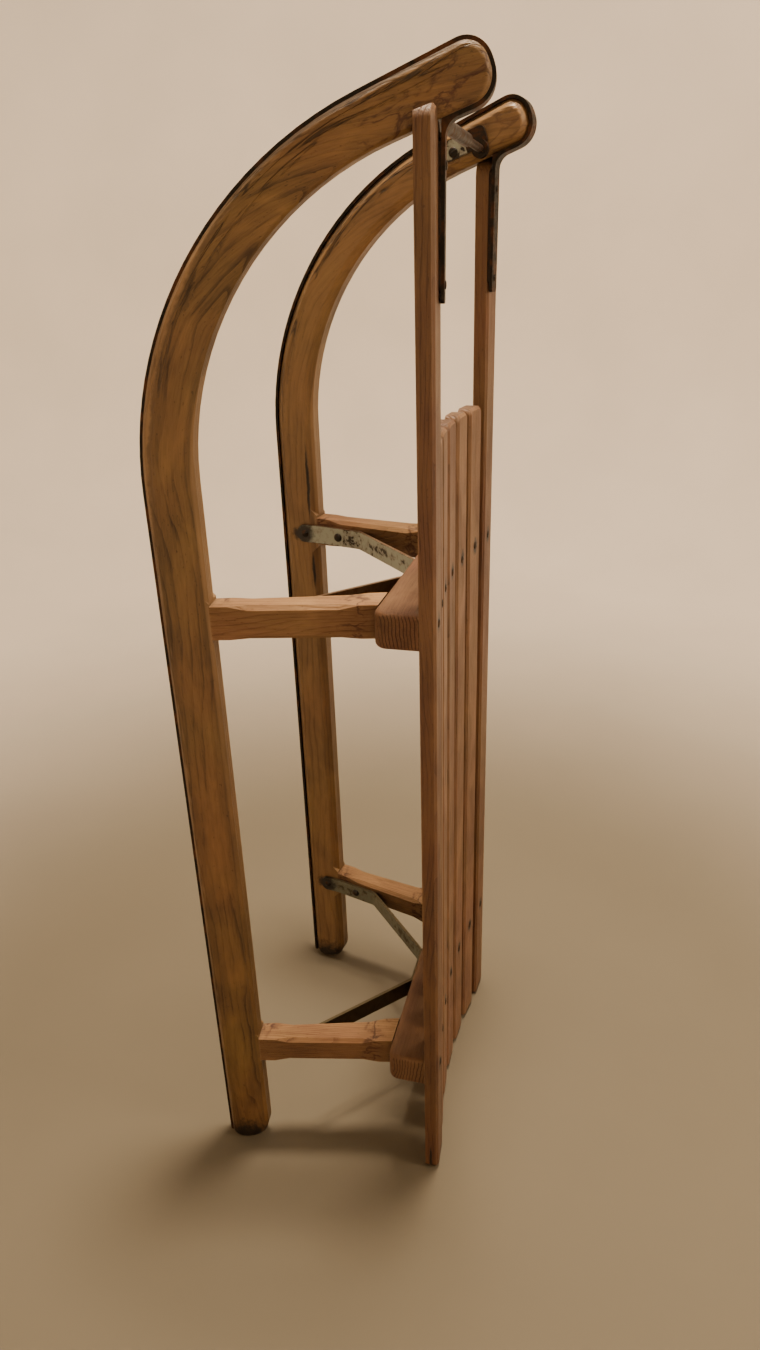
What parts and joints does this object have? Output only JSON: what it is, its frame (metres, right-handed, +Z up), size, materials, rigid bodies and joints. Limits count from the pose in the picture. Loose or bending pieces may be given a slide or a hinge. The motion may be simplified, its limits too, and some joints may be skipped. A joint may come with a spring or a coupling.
{
  "type": "wooden toboggan",
  "caption": "Slatted wooden toboggan with bent horn runners shod in steel strip, dished seat, trestle yokes and flat steel braces, standing upright on its tail ends.",
  "frame": {"origin": "on the floor under the middle of the sled's box, as it stands on its tail ends", "axes": "+Z up from the tail ends to the horns, +X from the runners' soles to the seat, +Y to a rider's right; the plane Y = 0 is the plane of symmetry"},
  "size_m": [0.2939, 0.3466, 1.0979],
  "materials": {
    "runner_ash": "satin, old varnish, worn edges",
    "seat_ash": "satin, worn varnish",
    "yoke_ash": "matt, bare and weathered",
    "runner_iron": "dull, brown-black with rust",
    "brace_enamel": "semi-gloss, chipped to rust",
    "rod_steel": "dull, scratched"
  },
  "bodies": {
    "root": {"brace_front": "brace_enamel", "brace_rear": "brace_enamel", "crossbeam_front": "yoke_ash", "crossbeam_rear": "yoke_ash", "leg_front_left": "yoke_ash", "leg_front_right": "yoke_ash", "leg_rear_left": "yoke_ash", "leg_rear_right": "yoke_ash", "nose_rod": "rod_steel", "runner_iron_left": "runner_iron", "runner_iron_right": "runner_iron", "runner_left": "runner_ash", "runner_right": "runner_ash", "seat_rail_left": "seat_ash", "seat_rail_right": "seat_ash", "seat_slat_1": "seat_ash", "seat_slat_2": "seat_ash", "seat_slat_3": "seat_ash", "seat_slat_4": "seat_ash", "seat_slat_5": "seat_ash"}
  },
  "joints": []
}
